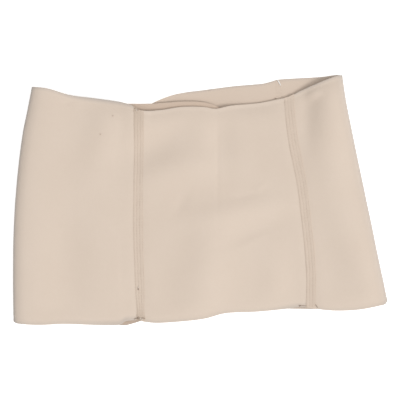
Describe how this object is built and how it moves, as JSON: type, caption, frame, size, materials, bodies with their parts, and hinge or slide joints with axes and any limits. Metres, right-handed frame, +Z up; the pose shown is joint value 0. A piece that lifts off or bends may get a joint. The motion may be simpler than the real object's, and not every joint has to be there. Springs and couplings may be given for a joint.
{
  "type": "maternity belly band",
  "caption": "Soft beige wrap-style maternity belly band lying flat and empty, with seam-taped front panels, puffy side folds and rounded ends that overlap in the lower layer.",
  "frame": {"origin": "middle of the flattened band, on the surface that it lies on", "axes": "+X across the band to its right fold, +Y towards its narrow upper rim, +Z up off the surface"},
  "size_m": [0.3816, 0.2555, 0.0161],
  "materials": {
    "bonded_cloth": "matt beige fine-knit bonded cloth with raw cut edges",
    "seam_tape": "matt beige tape with rows of stitching",
    "hook_loop": "matt beige hook-and-loop"
  },
  "bodies": {
    "root": {"center_panel": "bonded_cloth", "left_side_panel": "bonded_cloth", "right_side_panel": "bonded_cloth", "left_end_flap": "bonded_cloth", "right_end_flap": "bonded_cloth", "left_seam_tape": "seam_tape", "right_seam_tape": "seam_tape", "closure_patch": "hook_loop"}
  },
  "joints": []
}
